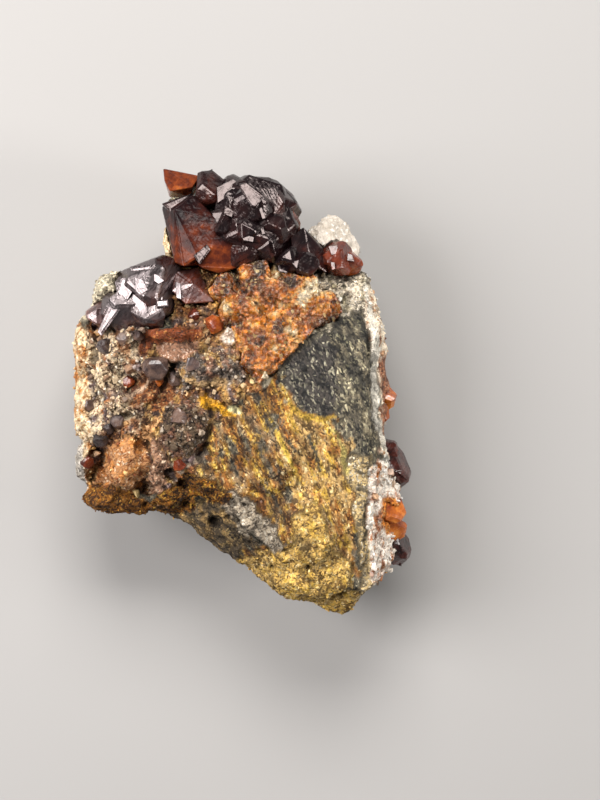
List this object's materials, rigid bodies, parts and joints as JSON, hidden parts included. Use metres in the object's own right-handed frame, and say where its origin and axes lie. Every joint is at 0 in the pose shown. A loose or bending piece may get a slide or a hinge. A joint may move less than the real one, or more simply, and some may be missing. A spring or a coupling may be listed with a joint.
{
  "type": "sphalerite specimen",
  "caption": "Natural mineral specimen: a wedge of ochre-coated host rock with dark, glossy sphalerite crystals along its top and a rough amber patch below them.",
  "frame": {"origin": "under the middle of the bounding box, on the surface that the specimen lies on", "axes": "the specimen lies on its broken back: +Z is the side that shows, +Y its top where the dark crystals stand, +X its right-hand flank as the face is seen"},
  "size_m": [0.0686, 0.0896, 0.0363],
  "materials": {
    "host_rock": "rough broken rock, ochre crust on dark slate, cream and grey veins",
    "dark_sphalerite": "glossy, near black with deep red edges",
    "shoulder_sphalerite": "glossy, near black with pale reflections",
    "red_sphalerite": "glossy, red-brown, slightly translucent",
    "amber_sphalerite": "granular, resinous, orange to amber",
    "white_quartz": "sugary, milky white",
    "smoky_sphalerite": "glossy, smoky brown-black",
    "honey_sphalerite": "glossy, honey to orange-brown",
    "pink_sphalerite": "glossy, pinkish amber"
  },
  "bodies": {
    "root": {"matrix": "host_rock", "crown_crystals": "dark_sphalerite", "shoulder_crystals": "shoulder_sphalerite", "side_crystal": "red_sphalerite", "amber_mass": "amber_sphalerite", "quartz_knob": "white_quartz", "flank_crystals_upper": "smoky_sphalerite", "flank_crystals_lower": "honey_sphalerite", "edge_crystal": "pink_sphalerite"}
  },
  "joints": []
}
